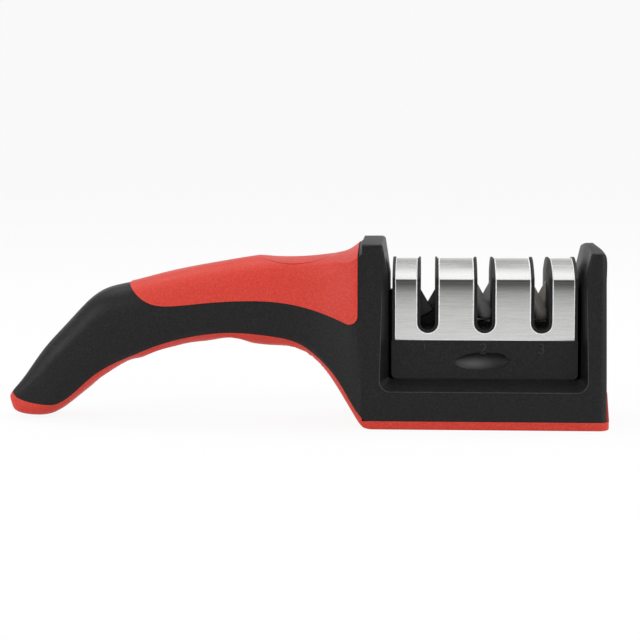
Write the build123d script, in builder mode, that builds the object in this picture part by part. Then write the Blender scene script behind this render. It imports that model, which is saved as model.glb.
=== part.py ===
from build123d import *
import math
import os

# Pull-through knife sharpener: a curved handle runs into a U-shaped cradle, and a sharpening
# head with three stages lifts out of the cradle. Millimetres, +X along the cradle away from the
# handle, +Z up, origin on the table under the middle of the whole length.

# Holder
overall_length = 210.0
base_depth = 50.0
arm_top_depth = 44.0
left_arm_height = 64.2
right_arm_height = 61.9
grip_width = 26.5
sole_lip = 0.8
sole_lip_height = 12.9
sole_thickness = 2.9
sole_edge = 0.8
sole_foot_rounding = 0.6
left_arm_thickness = 8.95
right_arm_thickness = 8.75
end_draft = 0.7
arm_shoulder_height = 12.0
arm_shoulder_reach = 3.9
left_arm_crown = 1.3
right_arm_crown = 1.9
arm_edge_rounding = 1.2
base_corner = 3.0
pocket_floor_height = 16.8
pocket_floor_wall = 5.8
bevel_start_gap = 0.3
bevel_drop = 4.3
bevel_side = 3.0
bevel_shift = 0.5
bevel_corner = 4.0
arm_lead_height = 14.0
left_lead_side = 2.2
right_lead_side = 3.2
arm_lead_rounding = 1.0
thumb_rest_radius = 100.0
thumb_rest_height = 56.7
thumb_rest_crown = 1.2
inlay_rise = 0.35
inlay_depth = 1.8
inlay_corner = 3.0
inlay_setback = 1.5
shell_wall = 2.6
cover_thickness = 2.0
cover_gap = 0.15
boss_diameter = 7.0
rib_thickness = 1.6
rib_pitch = 26.0
guide_rib_width = 4.4
guide_rib_reach = 1.75
guide_rib_height = 29.0
guide_gap = 0.3

# Screws of the lower cover
screw_diameter = 3.0
screw_length = 9.0
screw_head_diameter = 5.6
screw_head_height = 1.8
screw_inset = 11.0
screw_recess_gap = 0.7
screw_gap = 0.1
cross_width = 0.8
cross_length = 3.2
cross_depth = 1.0

# Sharpening head
head_width = 63.4
head_depth = 38.0
head_side_gap = 1.05
head_block_height = 13.3
head_corner = 1.8
ridge_height = 39.9
eave_height = 33.6
eave_lean = 1.0
eave_rounding = 1.2
end_wall = 1.2
end_wall_setback = 0.2
rim_proud = 0.5
rim_step = 0.6
sheet_thickness = 0.6
slot_pitch = 19.35
slot_width = 7.6
slot_sill = 2.2
knife_gap = 5.0
insert_gap = 0.1
insert_body_width = 18.6
insert_body_depth = 13.4
insert_body_height = 34.2
recess_width = 19.4
recess_height = 6.0
recess_drop = 7.1
recess_steps = 8
head_plate_thickness = 2.0
head_plate_margin = 2.6
head_screw_diameter = 2.2
head_screw_length = 6.0
head_screw_head_diameter = 4.2
head_screw_head_height = 1.2
head_screw_inset = 4.0

# Abrasives
rod_diameter = 4.8
rod_lean = 28.0
rod_run_up = 13.6
rod_run_down = 1.8
rod_crossing_height = 22.3
rod_spacing = 0.4
rod_gap = 0.05
blade_thickness = 1.5
blade_width = 5.0
blade_lean = 30.0
blade_tip_height = 24.7
blade_run_up = 9.4
blade_run_down = 3.4
blade_spacing = 0.3
blade_gap = 0.1
blade_screw_diameter = 2.0
blade_screw_head_diameter = 3.6
blade_screw_head_height = 1.0
blade_screw_length = 3.6
blade_screw_inset = 2.6
saddle_depth = 11.0
blade_saddle_height = 23.2
rod_saddle_height = 18.2

overrun = 1.0

# Places worked out from the sizes
tail_x = -overall_length / 2
cradle_right = overall_length / 2 - sole_lip
pocket_width = head_width + 2 * head_side_gap
pocket_right = cradle_right - right_arm_thickness
pocket_left = pocket_right - pocket_width
cradle_left = pocket_left - left_arm_thickness
handle_reach = cradle_left - tail_x
arms_top = max(left_arm_height, right_arm_height) + overrun
head_x = pocket_left + pocket_width / 2
head_left = head_x - head_width / 2
head_bottom = pocket_floor_height
block_top = head_bottom + head_block_height
cover_left = head_left + end_wall
cover_width = head_width - 2 * end_wall
cover_half_depth = head_depth / 2 - rim_proud
slot_floor = block_top + slot_sill
slot_places = [head_x - slot_pitch, head_x, head_x + slot_pitch]


def holder_section(x, height, crown, rounding, inset=0.0, foot_inset=0.0):
    """Cross-section of the holder at x: sides drafted from the table up, top crowned or flat."""
    draft = (base_depth - arm_top_depth) / 2 / left_arm_height
    shoulder = height - crown - inset
    half_foot = base_depth / 2 - inset
    half_top = half_foot - draft * (shoulder - foot_inset)
    with BuildSketch(Plane.YZ.offset(x)) as section:
        with BuildLine():
            Polyline(
                (-half_top, shoulder), (-half_foot, foot_inset), (half_foot, foot_inset), (half_top, shoulder)
            )
            if crown:
                ThreePointArc((half_top, shoulder), (0, height - inset), (-half_top, shoulder))
            else:
                Line((half_top, shoulder), (-half_top, shoulder))
        make_face()
        if rounding:
            fillet(section.vertices().sort_by(Axis.Y)[-2:], rounding)
            fillet(section.vertices().sort_by(Axis.Y)[:2], sole_edge)
    return section.sketch


# Handle

# Stations of the handle from the tail to the cradle. Each row gives the top point and the bottom
# point of a section, along the handle's reach and up the left arm's height, then its width as a
# share of the grip's, and the rounding and the crown of its top as shares of its own width.
station_shares = [
    (0.000, 0.125, 0.010, 0.058, 0.42, 0.28, 0.040),
    (0.006, 0.146, 0.017, 0.038, 0.51, 0.28, 0.040),
    (0.029, 0.201, 0.066, 0.014, 0.64, 0.30, 0.060),
    (0.080, 0.338, 0.134, 0.032, 0.76, 0.36, 0.075),
    (0.139, 0.474, 0.196, 0.120, 0.83, 0.38, 0.082),
    (0.206, 0.613, 0.268, 0.228, 0.89, 0.38, 0.084),
    (0.266, 0.706, 0.330, 0.300, 0.93, 0.38, 0.084),
    (0.333, 0.743, 0.390, 0.343, 0.96, 0.38, 0.084),
    (0.437, 0.795, 0.468, 0.397, 0.98, 0.38, 0.084),
    (0.574, 0.850, 0.591, 0.430, 1.00, 0.37, 0.084),
    (0.709, 0.893, 0.714, 0.414, 1.02, 0.35, 0.080),
    (0.817, 0.902, 0.814, 0.386, 1.08, 0.30, 0.060),
    (0.897, 0.897, 0.885, 0.304, 1.24, 0.20, 0.035),
    (0.952, 0.932, 0.944, 0.158, 1.49, 0.12, 0.018),
]
foot_rounding_share = 0.26
foot_crown_share = 0.4
side_bulge_share = 0.035
thumb_rest_share = 0.786


def handle_section(shares, inset, foot_inset):
    """One slanted section of the handle: crowned top, bulged sides and rounded corners."""
    top_x, top_z, foot_x, foot_z, width_share, rounding_share, crown_share = shares
    top = Vector(tail_x + top_x * handle_reach, 0, top_z * left_arm_height)
    foot = Vector(tail_x + foot_x * handle_reach, 0, foot_z * left_arm_height)
    upward = (top - foot).normalized()
    width = width_share * grip_width - 2 * inset
    height = (top - foot).length - inset - foot_inset
    half = width / 2
    bulged = half + side_bulge_share * width
    corner = rounding_share * min(width, height)
    foot_corner = min(foot_rounding_share, rounding_share) * min(width, height)
    crown = crown_share * width
    heel = crown * foot_crown_share
    plane = Plane(foot + upward * foot_inset, x_dir=(0, 1, 0), z_dir=Vector(0, 1, 0).cross(upward))
    with BuildSketch(plane) as section:
        with BuildLine():
            ThreePointArc((-half, heel), (0, 0), (half, heel))
            ThreePointArc((half, heel), (bulged, height / 2), (half, height - crown))
            ThreePointArc((half, height - crown), (0, height), (-half, height - crown))
            ThreePointArc((-half, height - crown), (-bulged, height / 2), (-half, heel))
        make_face()
        fillet(section.vertices().sort_by(Axis.Y)[-2:], corner)
        fillet(section.vertices().sort_by(Axis.Y)[:2], foot_corner)
    return section.sketch


def handle_form(inset, foot_inset, first):
    """Loft of the handle from one station to the cradle, drawn in by an inset and by one at its foot."""
    sections = [handle_section(shares, inset, foot_inset) for shares in station_shares[first:]]
    sections.append(
        holder_section(cradle_left, left_arm_height, left_arm_crown, arm_edge_rounding, inset, foot_inset)
    )
    with BuildPart() as form:
        loft(sections)
        add(thumb_rest(inset), mode=Mode.SUBTRACT)
    return form.part


def thumb_rest(inset):
    """Spool that presses the thumb rest into the handle's top: its waist is over the middle."""
    reach = tail_x + thumb_rest_share * handle_reach
    axis_height = thumb_rest_height + thumb_rest_radius
    half = base_depth / 2
    waist = thumb_rest_radius + inset
    rim = waist + thumb_rest_crown * (base_depth / grip_width) ** 2
    with BuildPart() as spool:
        with BuildSketch(Plane.YZ.offset(reach)):
            with BuildLine():
                ThreePointArc((-half, axis_height - rim), (0, axis_height - waist), (half, axis_height - rim))
                Polyline(
                    (half, axis_height - rim),
                    (half, axis_height),
                    (-half, axis_height),
                    (-half, axis_height - rim),
                )
            make_face()
        revolve(axis=Axis((reach, 0, axis_height), (0, 1, 0)))
    return spool.part


# Parting line between the black shell and the red sole, from the tail's end to the base
parting_shares = [
    (0.000, 0.188),
    (0.009, 0.165),
    (0.013, 0.144),
    (0.024, 0.120),
    (0.043, 0.103),
    (0.066, 0.091),
    (0.093, 0.083),
    (0.115, 0.080),
    (0.137, 0.083),
    (0.155, 0.098),
    (0.206, 0.176),
    (0.248, 0.247),
    (0.293, 0.302),
    (0.361, 0.362),
    (0.428, 0.416),
    (0.520, 0.464),
    (0.606, 0.489),
    (0.665, 0.490),
    (0.740, 0.475),
    (0.828, 0.432),
    (0.872, 0.372),
    (0.916, 0.290),
    (0.946, 0.212),
    (0.975, 0.120),
]


def under_parting_line(lift):
    """Side view of everything below the parting line, with the line raised by the lift."""
    points = [(tail_x - overrun, parting_shares[0][1] * left_arm_height + lift)]
    points += [(tail_x + x * handle_reach, z * left_arm_height + lift) for x, z in parting_shares]
    far = overall_length / 2 + overrun
    with BuildSketch(Plane.XZ) as region:
        with BuildLine():
            curve = Spline(*points, (cradle_left + overrun, sole_thickness + lift))
            Polyline(
                curve @ 1,
                (far, sole_thickness + lift),
                (far, -overrun),
                (tail_x - overrun, -overrun),
                curve @ 0,
            )
        make_face()
    return region.sketch


# Finger grooves under the handle: crests and hollows by turns
groove_shares = [
    (0.2280, 0.172),
    (0.2900, 0.262),
    (0.3650, 0.322),
    (0.4440, 0.394),
    (0.5160, 0.413),
    (0.6070, 0.443),
    (0.7060, 0.413),
    (0.7520, 0.415),
    (0.7980, 0.396),
]


def under_finger_grooves():
    """Side view of the space below the finger grooves, an arc from each crest to the next."""
    points = [(tail_x + x * handle_reach, z * left_arm_height) for x, z in groove_shares]
    with BuildSketch(Plane.XZ) as region:
        with BuildLine():
            for crest, hollow, next_crest in zip(points[0::2], points[1::2], points[2::2]):
                ThreePointArc(crest, hollow, next_crest)
            Polyline(points[-1], (points[-1][0], -overrun), (points[0][0], -overrun), points[0])
        make_face()
    return region.sketch


# Side view of the red inlay: rounded nose on the handle, flared down at the cradle
inlay_shares = [
    (0.3270, 0.800),
    (0.3390, 0.770),
    (0.3640, 0.713),
    (0.3900, 0.670),
    (0.4200, 0.643),
    (0.4750, 0.636),
    (0.5640, 0.653),
    (0.6530, 0.665),
    (0.7410, 0.664),
    (0.8290, 0.640),
    (0.8850, 0.610),
    (0.9250, 0.583),
]
inlay_tip_share = 0.535


def above_inlay_edge():
    """Side view of the inlay, running up past the handle's top."""
    points = [(tail_x + x * handle_reach, z * left_arm_height) for x, z in inlay_shares]
    right = cradle_left - inlay_setback
    with BuildSketch(Plane.XZ) as region:
        with BuildLine():
            Spline(*points)
            Polyline(
                points[-1],
                (right, inlay_tip_share * left_arm_height),
                (right, arms_top),
                (points[0][0], arms_top),
                points[0],
            )
        make_face()
        fillet(region.vertices().group_by(Axis.X)[-1].sort_by(Axis.Y)[0], inlay_corner)
    return region.sketch


# Holder before it is divided: handle, cradle arms and floor
with BuildPart() as cradle:
    for start, end, height, crown in [
        (cradle_left, pocket_left + bevel_side, left_arm_height, left_arm_crown),
        (pocket_right - bevel_side, cradle_right, right_arm_height, right_arm_crown),
        (cradle_left, cradle_right, pocket_floor_height, 0),
    ]:
        extrude(holder_section(start, height, crown, arm_edge_rounding if crown else 0), amount=end - start)
    end_edges = cradle.faces().sort_by(Axis.X)[-1].edges().sort_by(Axis.Y)
    fillet([end_edges[0], end_edges[-1]], base_corner)
    shoulder_x = cradle_right - end_draft
    shoulder_z = right_arm_height - arm_shoulder_height
    with BuildSketch(Plane.XZ):
        with BuildLine():
            Spline(
                (shoulder_x, shoulder_z),
                (shoulder_x - arm_shoulder_reach, right_arm_height),
                tangents=[(-end_draft, shoulder_z), (-1, 0)],
            )
            Polyline(
                (shoulder_x - arm_shoulder_reach, right_arm_height),
                (head_x, right_arm_height),
                (head_x, left_arm_height),
                (cradle_left, left_arm_height),
                (cradle_left, 0),
                (cradle_right, 0),
                (shoulder_x, shoulder_z),
            )
        make_face()
    extrude(amount=base_depth, both=True, mode=Mode.INTERSECT)

outer_form = handle_form(0, 0, 0)

# Pocket for the sharpening head, with slanted leads at the arm tops and bevelled mouths
with BuildPart() as pocket:
    with BuildSketch(Plane.XZ) as pocket_view:
        left_lead = left_arm_height - arm_lead_height
        right_lead = right_arm_height - arm_lead_height
        with BuildLine():
            Polyline(
                (pocket_left, pocket_floor_height),
                (pocket_right, pocket_floor_height),
                (pocket_right, right_lead),
                (pocket_right + right_lead_side, right_arm_height),
                (pocket_right + right_lead_side, arms_top),
                (pocket_left - left_lead_side, arms_top),
                (pocket_left - left_lead_side, left_arm_height),
                (pocket_left, left_lead),
                (pocket_left, pocket_floor_height),
            )
        make_face()
        fillet(pocket_view.vertices().group_by(Axis.Y)[0], head_corner - head_side_gap)
    extrude(amount=base_depth, both=True)
    for side in (-1, 1):
        mouths = []
        for place, middle, spread, drop, rounding in [
            (head_depth / 2 + bevel_start_gap, head_x, 0, 0, head_corner - head_side_gap),
            (base_depth / 2, head_x - bevel_shift, bevel_side, bevel_drop, bevel_corner),
        ]:
            low = pocket_floor_height - drop
            with BuildSketch(Plane.XZ.offset(-side * place)) as mouth:
                with Locations((middle, (low + arms_top) / 2)):
                    Rectangle(pocket_width + 2 * spread, arms_top - low)
                fillet(mouth.vertices().sort_by(Axis.Y)[:2], rounding)
            mouths.append(mouth.sketch)
        loft(mouths, ruled=True)

# Red sole: finger grooves under the handle, strip up the slope, pad under the cradle
screw_x = [cradle_left + screw_inset, cradle_right - screw_inset]
screw_y = base_depth / 2 - screw_inset
screw_places = [(x, y) for x in screw_x for y in (-screw_y, screw_y)]

lip_left = cradle_right - 2 * end_draft
with BuildPart() as end_lip:
    with BuildSketch(Plane.XZ):
        with BuildLine():
            Polyline(
                (lip_left, sole_thickness),
                (overall_length / 2, sole_thickness),
                (cradle_right, sole_lip_height),
                (lip_left, sole_lip_height),
                (lip_left, sole_thickness),
            )
        make_face()
    extrude(amount=base_depth / 2 - base_corner, both=True)
    add(cradle.part, mode=Mode.SUBTRACT)

with BuildPart() as sole:
    add(outer_form)
    extrude(under_parting_line(0), amount=base_depth, both=True, mode=Mode.INTERSECT)
    extrude(under_finger_grooves(), amount=base_depth, both=True, mode=Mode.SUBTRACT)
    with BuildSketch() as pad:
        with Locations(((cradle_left + overall_length / 2) / 2, 0)):
            Rectangle(overall_length / 2 - cradle_left, base_depth)
        fillet(pad.vertices().group_by(Axis.X)[-1], base_corner + sole_lip)
    extrude(amount=sole_thickness)
    add(end_lip.part)
    foot_rim = sole.faces().sort_by(Axis.Z)[0].outer_wire().edges()
    fillet(foot_rim.filter_by_position(Axis.X, cradle_left + overrun, overall_length / 2), sole_foot_rounding)
    with Locations([(x, y, 0) for x, y in screw_places]):
        Hole((screw_head_diameter + screw_recess_gap) / 2, sole_thickness + overrun)

# Red inlay moulded into a step on the top and sides of the handle, a little proud of it
with BuildPart() as inlay_step:
    extrude(above_inlay_edge(), amount=base_depth, both=True)
    add(handle_form(inlay_depth, inlay_depth, 1), mode=Mode.SUBTRACT)

with BuildPart() as grip_inlay:
    add(handle_form(-inlay_rise, 0, 0))
    add(inlay_step.part, mode=Mode.INTERSECT)

# Black shell: handle and cradle in one, hollow and open below
hollow_top = pocket_floor_height - pocket_floor_wall
hollow_right = cradle_right - shell_wall - end_draft
hollow_half_depth = base_depth / 2 - shell_wall
cavity = handle_form(inlay_depth + shell_wall, 0, 2)
with BuildPart() as hollow:
    add(cavity)
    with Locations(((cradle_left - shell_wall + hollow_right) / 2, 0, 0)):
        Box(
            hollow_right - cradle_left + shell_wall,
            2 * hollow_half_depth,
            hollow_top,
            align=(Align.CENTER, Align.CENTER, Align.MIN),
        )

with BuildPart() as body_shell:
    add(outer_form)
    add(cradle.part)
    add(pocket.part, mode=Mode.SUBTRACT)
    extrude(under_parting_line(0), amount=base_depth, both=True, mode=Mode.SUBTRACT)
    add(inlay_step.part, mode=Mode.SUBTRACT)
    add(hollow.part, mode=Mode.SUBTRACT)
    boss_foot = sole_thickness + cover_thickness
    rib_places = [head_x + turn * rib_pitch for turn in (-1, 0, 1)]
    with BuildSketch(Plane.XY.offset(boss_foot)):
        with Locations(screw_places):
            Circle(boss_diameter / 2)
        with Locations([(x, 0) for x in rib_places]):
            Rectangle(rib_thickness, 2 * hollow_half_depth)
    extrude(amount=hollow_top - boss_foot)
    for place, facing in ((pocket_left, 1), (pocket_right, -1)):
        with Locations((place + facing * guide_rib_reach / 2, 0, pocket_floor_height)):
            Box(
                guide_rib_reach,
                guide_rib_width,
                guide_rib_height,
                align=(Align.CENTER, Align.CENTER, Align.MIN),
            )
    with BuildSketch(Plane.XY.offset(boss_foot)):
        with Locations(screw_places):
            Circle(screw_diameter / 2 + screw_gap)
    extrude(amount=screw_length - cover_thickness + screw_gap, mode=Mode.SUBTRACT)
    arm_tips = [pocket_left - left_lead_side, pocket_right + right_lead_side]
    tip_edges = [
        edge
        for edge in body_shell.edges().filter_by(GeomType.ELLIPSE)
        if edge.length > arm_lead_height
        and min(abs((edge @ 0.5).X - tip) for tip in arm_tips) < arm_lead_rounding
    ]
    fillet(tip_edges, arm_lead_rounding)

# Lower cover: stiff plate inside the shell's lower rim, on which the sole is moulded
with BuildPart() as lower_cover:
    add(handle_form(inlay_depth + shell_wall + cover_gap, 0, 2))
    extrude(under_parting_line(cover_thickness), amount=base_depth, both=True, mode=Mode.INTERSECT)
    with Locations(((cradle_left - shell_wall + hollow_right - cover_gap) / 2, 0, sole_thickness)):
        Box(
            hollow_right - cover_gap - cradle_left + shell_wall,
            2 * (hollow_half_depth - cover_gap),
            cover_thickness,
            align=(Align.CENTER, Align.CENTER, Align.MIN),
        )
    extrude(under_parting_line(0), amount=base_depth, both=True, mode=Mode.SUBTRACT)
    with Locations([(x, y, sole_thickness) for x, y in screw_places]):
        Hole(screw_diameter / 2 + screw_gap, sole_thickness + cover_thickness + overrun)

# Screws of the lower cover, heads sunk in the sole
screw_foot = sole_thickness - screw_head_height
with BuildPart() as cover_screws:
    with BuildSketch(Plane.XY.offset(screw_foot)):
        with Locations(screw_places):
            Circle(screw_head_diameter / 2)
    extrude(amount=screw_head_height)
    with BuildSketch(Plane.XY.offset(sole_thickness)):
        with Locations(screw_places):
            Circle(screw_diameter / 2)
    extrude(amount=screw_length)
    with BuildSketch(Plane.XY.offset(screw_foot)):
        with Locations(screw_places):
            Rectangle(cross_length, cross_width)
            Rectangle(cross_width, cross_length)
    extrude(amount=cross_depth, mode=Mode.SUBTRACT)


# Sharpening head

def arch_section(x, growth):
    """End view of the head above its block, at x: upright faces, a bend and a low arched roof."""
    half = cover_half_depth + growth
    half_eave = half - eave_lean
    eave = head_bottom + eave_height + growth
    ridge = head_bottom + ridge_height + growth
    with BuildSketch(Plane.YZ.offset(x)) as section:
        with BuildLine():
            Polyline((-half_eave, eave), (-half, block_top), (half, block_top), (half_eave, eave))
            ThreePointArc((half_eave, eave), (0, ridge), (-half_eave, eave))
        make_face()
        fillet(section.vertices().sort_by(Axis.Y)[-2:], eave_rounding + growth)
    return section.sketch


def slot_view(place, width, floor):
    """Front view of a U-shaped slot: round floor, straight sides, open upwards."""
    top = head_bottom + ridge_height + rim_proud + overrun
    left = place - width / 2
    right = place + width / 2
    with BuildSketch(Plane.XZ) as slot:
        with BuildLine():
            Polyline((left, floor + width / 2), (left, top), (right, top), (right, floor + width / 2))
            ThreePointArc((right, floor + width / 2), (place, floor), (left, floor + width / 2))
        make_face()
    return slot.sketch


# Bent stainless sheet over the posts, cut open at the three slots
with BuildPart() as steel_cover:
    extrude(arch_section(cover_left, 0), amount=cover_width)
    extrude(arch_section(cover_left, -sheet_thickness), amount=cover_width, mode=Mode.SUBTRACT)
    for place in slot_places:
        extrude(slot_view(place, slot_width, slot_floor), amount=head_depth, both=True, mode=Mode.SUBTRACT)

# Head frame: block with finger recesses, four posts, two end walls and a channel for the inserts
channel_length = 2 * slot_pitch + insert_body_width + 2 * insert_gap
channel_depth = insert_body_depth + 2 * insert_gap
plate_length = head_width - 2 * head_plate_margin
plate_depth = head_depth - 2 * head_plate_margin
body_floor = head_bottom + head_plate_thickness
head_screw_places = [
    (head_x + side * (plate_length / 2 - head_screw_inset), end * (plate_depth / 2 - head_screw_inset))
    for side in (-1, 1)
    for end in (-1, 1)
]

with BuildPart() as head_frame:
    with BuildSketch(Plane.XZ) as block_view:
        with Locations((head_x, (head_bottom + block_top) / 2)):
            Rectangle(head_width, head_block_height)
        fillet(block_view.vertices().group_by(Axis.Y)[0], head_corner)
    extrude(amount=head_depth / 2, both=True)
    extrude(arch_section(cover_left, -sheet_thickness), amount=cover_width)
    for place in (head_left + end_wall_setback, head_left + head_width - end_wall):
        extrude(arch_section(place, rim_proud), amount=end_wall - end_wall_setback)
    for place in slot_places:
        extrude(slot_view(place, slot_width, slot_floor), amount=head_depth, both=True, mode=Mode.SUBTRACT)
    with Locations((head_x, 0, head_bottom)):
        Box(
            channel_length,
            channel_depth,
            head_plate_thickness + insert_body_height + insert_gap,
            align=(Align.CENTER, Align.CENTER, Align.MIN),
            mode=Mode.SUBTRACT,
        )
        Box(
            plate_length + 2 * cover_gap,
            plate_depth + 2 * cover_gap,
            head_plate_thickness,
            align=(Align.CENTER, Align.CENTER, Align.MIN),
            mode=Mode.SUBTRACT,
        )
    for place in (head_left, head_left + head_width):
        with Locations((place, 0, head_bottom)):
            Box(
                2 * (guide_rib_reach - head_side_gap + guide_gap),
                guide_rib_width + 2 * guide_gap,
                guide_rib_height + guide_gap,
                align=(Align.CENTER, Align.CENTER, Align.MIN),
                mode=Mode.SUBTRACT,
            )
    turns = [math.pi * step / recess_steps for step in range(recess_steps + 1)]
    for side in (-1, 1):
        with BuildSketch(Plane(origin=(head_x, side * head_depth / 2, block_top - recess_drop))):
            with BuildLine():
                rim = Spline(
                    *[
                        (-recess_width / 2 * math.cos(turn), recess_height / 2 * math.sin(turn))
                        for turn in turns
                    ],
                    tangents=[(0, 1), (0, -1)],
                )
                Line(rim @ 1, rim @ 0)
            make_face()
        recess_axis = Axis((head_x, side * head_depth / 2, block_top - recess_drop), (1, 0, 0))
        revolve(axis=recess_axis, mode=Mode.SUBTRACT)
    with BuildSketch(Plane.XY.offset(body_floor)):
        with Locations(head_screw_places):
            Circle(head_screw_diameter / 2 + screw_gap)
    extrude(amount=head_screw_length, mode=Mode.SUBTRACT)

# Plate that closes the head from below, with its screws
with BuildPart() as head_base_plate:
    with Locations((head_x, 0, head_bottom)):
        Box(plate_length, plate_depth, head_plate_thickness, align=(Align.CENTER, Align.CENTER, Align.MIN))
    with Locations([(x, y, head_bottom) for x, y in head_screw_places]):
        Hole(head_screw_diameter / 2 + screw_gap, head_plate_thickness + overrun)
    with BuildSketch(Plane.XY.offset(head_bottom)):
        with Locations(head_screw_places):
            Circle(head_screw_head_diameter / 2 + screw_gap)
    extrude(amount=head_screw_head_height, mode=Mode.SUBTRACT)

with BuildPart() as head_screws:
    with BuildSketch(Plane.XY.offset(head_bottom)):
        with Locations(head_screw_places):
            Circle(head_screw_head_diameter / 2)
    extrude(amount=head_screw_head_height)
    with BuildSketch(Plane.XY.offset(head_bottom + head_screw_head_height)):
        with Locations(head_screw_places):
            Circle(head_screw_diameter / 2)
    extrude(amount=head_screw_length)


# Abrasives

def rod_shape(place, side, growth):
    """A leaning round rod with a ball end; side -1 is the front one, leaning to the left going up."""
    crossing = Vector(place, side * (rod_diameter + rod_spacing) / 2, head_bottom + rod_crossing_height)
    lean = math.radians(rod_lean)
    upward = Vector(side, 0, 0) * math.sin(lean) + Vector(0, 0, 1) * math.cos(lean)
    radius = rod_diameter / 2 + growth
    with BuildPart() as rod:
        with BuildSketch(Plane(crossing - upward * rod_run_down, z_dir=upward)):
            Circle(radius)
        extrude(amount=rod_run_down + rod_run_up + growth)
        with Locations(crossing - upward * rod_run_down):
            Sphere(radius)
    return rod.part


def blade_view(place, side, y, growth):
    """Front view of a leaning blade at y, its upper edge running through the tip of the notch."""
    tip = Vector(place, head_bottom + blade_tip_height)
    upward = Vector(side * math.sin(math.radians(blade_lean)), math.cos(math.radians(blade_lean)))
    across = Vector(side * math.cos(math.radians(blade_lean)), -math.sin(math.radians(blade_lean)))
    corners = [
        tip - across * growth - upward * (blade_run_down + growth),
        tip - across * growth + upward * (blade_run_up + growth),
        tip + across * (blade_width + growth) + upward * (blade_run_up + growth),
        tip + across * (blade_width + growth) - upward * (blade_run_down + growth),
    ]
    with BuildSketch(Plane.XZ.offset(-y)) as view:
        with BuildLine():
            Polyline(*corners, corners[0])
        make_face()
    return view.sketch


def blade_screw_view(place, side, y, diameter):
    """Circle at y round the axis of a blade's screw."""
    lean = math.radians(blade_lean)
    reach = blade_run_up - blade_screw_inset
    x = place + side * (math.sin(lean) * reach + math.cos(lean) * blade_width / 2)
    z = head_bottom + blade_tip_height + math.cos(lean) * reach - math.sin(lean) * blade_width / 2
    with BuildSketch(Plane.XZ.offset(-y)) as view:
        with Locations((x, z)):
            Circle(diameter / 2)
    return view.sketch


def blade_shape(place, side):
    """A carbide plate on its side of the head's middle, with a hole for its screw."""
    back = side * blade_spacing / 2
    with BuildPart() as blade:
        extrude(blade_view(place, side, back, 0), amount=-side * blade_thickness)
        hole = blade_screw_view(place, side, back, blade_screw_diameter + 2 * screw_gap)
        extrude(hole, amount=-side * blade_thickness, mode=Mode.SUBTRACT)
    return blade.part


def liner_layer(place, inset, growth):
    """One layer of a slot's liner before the knife gap is cut: a filled U under an arch of its own growth."""
    width = slot_width - 2 * inset
    with BuildPart() as layer:
        extrude(arch_section(place - width / 2, growth), amount=width)
        view = slot_view(place, width, slot_floor + inset)
        extrude(view, amount=head_depth, both=True, mode=Mode.INTERSECT)
    return layer.part


def insert_block(place, saddle_height):
    """An insert before its stage is fitted: a stepped liner over the whole depth on a wide, saddled body."""
    with BuildPart() as insert:
        add(liner_layer(place, insert_gap, 0))
        add(liner_layer(place, rim_step, rim_proud))
        with Locations((place, 0, body_floor)):
            Box(
                insert_body_width,
                insert_body_depth,
                insert_body_height,
                align=(Align.CENTER, Align.CENTER, Align.MIN),
            )
        knife_way = slot_view(place, knife_gap, slot_floor + (slot_width - knife_gap) / 2)
        extrude(knife_way, amount=head_depth, both=True, mode=Mode.SUBTRACT)
        with Locations((place, 0, head_bottom + saddle_height)):
            Box(slot_width, saddle_depth, saddle_height / 2, align=(Align.CENTER, Align.CENTER, Align.MAX))
    return insert.part


carbide_place, diamond_place, ceramic_place = slot_places

blades = [blade_shape(carbide_place, side) for side in (-1, 1)]
blade_face = blade_spacing / 2 + blade_thickness


def blade_screw(place, side):
    """The screw that clamps one blade: a round head on the blade's outer face and a shank inwards."""
    with BuildPart() as screw:
        head = blade_screw_view(place, side, side * blade_face, blade_screw_head_diameter)
        extrude(head, amount=-side * blade_screw_head_height)
        shank = blade_screw_view(place, side, side * blade_face, blade_screw_diameter)
        extrude(shank, amount=side * blade_screw_length)
    return screw.part


blade_screws = [blade_screw(carbide_place, side) for side in (-1, 1)]

with BuildPart() as carbide_insert:
    add(insert_block(carbide_place, blade_saddle_height))
    for side in (-1, 1):
        seat = blade_view(carbide_place, side, side * (blade_spacing / 2 - blade_gap), blade_gap)
        extrude(seat, amount=-side * insert_body_depth / 2, mode=Mode.SUBTRACT)
        hole = blade_screw_view(carbide_place, side, side * blade_face, blade_screw_diameter + 2 * screw_gap)
        extrude(hole, amount=side * (blade_screw_length + screw_gap), mode=Mode.SUBTRACT)

diamond_rods = [rod_shape(diamond_place, side, 0) for side in (-1, 1)]
with BuildPart() as diamond_insert:
    add(insert_block(diamond_place, rod_saddle_height))
    add([rod_shape(diamond_place, side, rod_gap) for side in (-1, 1)], mode=Mode.SUBTRACT)

ceramic_rods = [rod_shape(ceramic_place, side, 0) for side in (-1, 1)]
with BuildPart() as ceramic_insert:
    add(insert_block(ceramic_place, rod_saddle_height))
    add([rod_shape(ceramic_place, side, rod_gap) for side in (-1, 1)], mode=Mode.SUBTRACT)

pieces = {
    "body_shell": body_shell.part,
    "grip_inlay": grip_inlay.part,
    "lower_cover": lower_cover.part,
    "sole": sole.part,
    "cover_screws": cover_screws.part,
    "head_frame": head_frame.part,
    "steel_cover": steel_cover.part,
    "head_base_plate": head_base_plate.part,
    "head_screws": head_screws.part,
    "carbide_insert": carbide_insert.part,
    "carbide_blade_front": blades[0],
    "carbide_blade_rear": blades[1],
    "carbide_screw_front": blade_screws[0],
    "carbide_screw_rear": blade_screws[1],
    "diamond_insert": diamond_insert.part,
    "diamond_rod_front": diamond_rods[0],
    "diamond_rod_rear": diamond_rods[1],
    "ceramic_insert": ceramic_insert.part,
    "ceramic_rod_front": ceramic_rods[0],
    "ceramic_rod_rear": ceramic_rods[1],
}
os.makedirs("parts", exist_ok=True)
for name, piece in pieces.items():
    piece.label = name
    export_step(piece, f"parts/{name}.step")
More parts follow.
